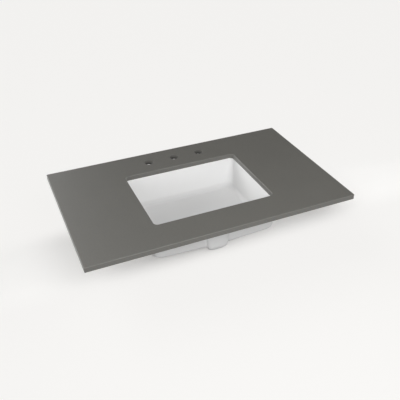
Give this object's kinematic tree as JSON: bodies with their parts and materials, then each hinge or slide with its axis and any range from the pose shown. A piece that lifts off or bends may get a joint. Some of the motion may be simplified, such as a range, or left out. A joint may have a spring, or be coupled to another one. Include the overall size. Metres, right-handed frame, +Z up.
{
  "type": "vanity sink top",
  "caption": "Stone vanity top with a rectangular china basin hung under its cut-out, a row of tap holes behind the basin, and clips that hold the basin's flange up from below.",
  "frame": {"origin": "on the floor plane under the middle of the slab: the foot of the basin's outlet stands on that plane", "axes": "+X along the slab's length, +Y towards the wall, +Z up out of the slab's top"},
  "size_m": [0.9398, 0.5588, 0.1826],
  "materials": {
    "stone": "honed dark grey engineered stone with a fine grain",
    "china": "glossy white glaze",
    "sealant": "cured white silicone",
    "brass": "turned brass",
    "plated_steel": "zinc plated steel"
  },
  "bodies": {
    "root": {"stone_top": "stone", "basin": "china", "sealant_bead": "sealant", "insert_front_left": "brass", "insert_front_right": "brass", "insert_back_left": "brass", "insert_back_right": "brass", "stud_front_left": "plated_steel", "stud_front_right": "plated_steel", "stud_back_left": "plated_steel", "stud_back_right": "plated_steel", "clip_front_left": "plated_steel", "clip_front_right": "plated_steel", "clip_back_left": "plated_steel", "clip_back_right": "plated_steel", "washer_front_left": "plated_steel", "washer_front_right": "plated_steel", "washer_back_left": "plated_steel", "washer_back_right": "plated_steel", "wing_nut_front_left": "plated_steel", "wing_nut_front_right": "plated_steel", "wing_nut_back_left": "plated_steel", "wing_nut_back_right": "plated_steel"}
  },
  "joints": []
}
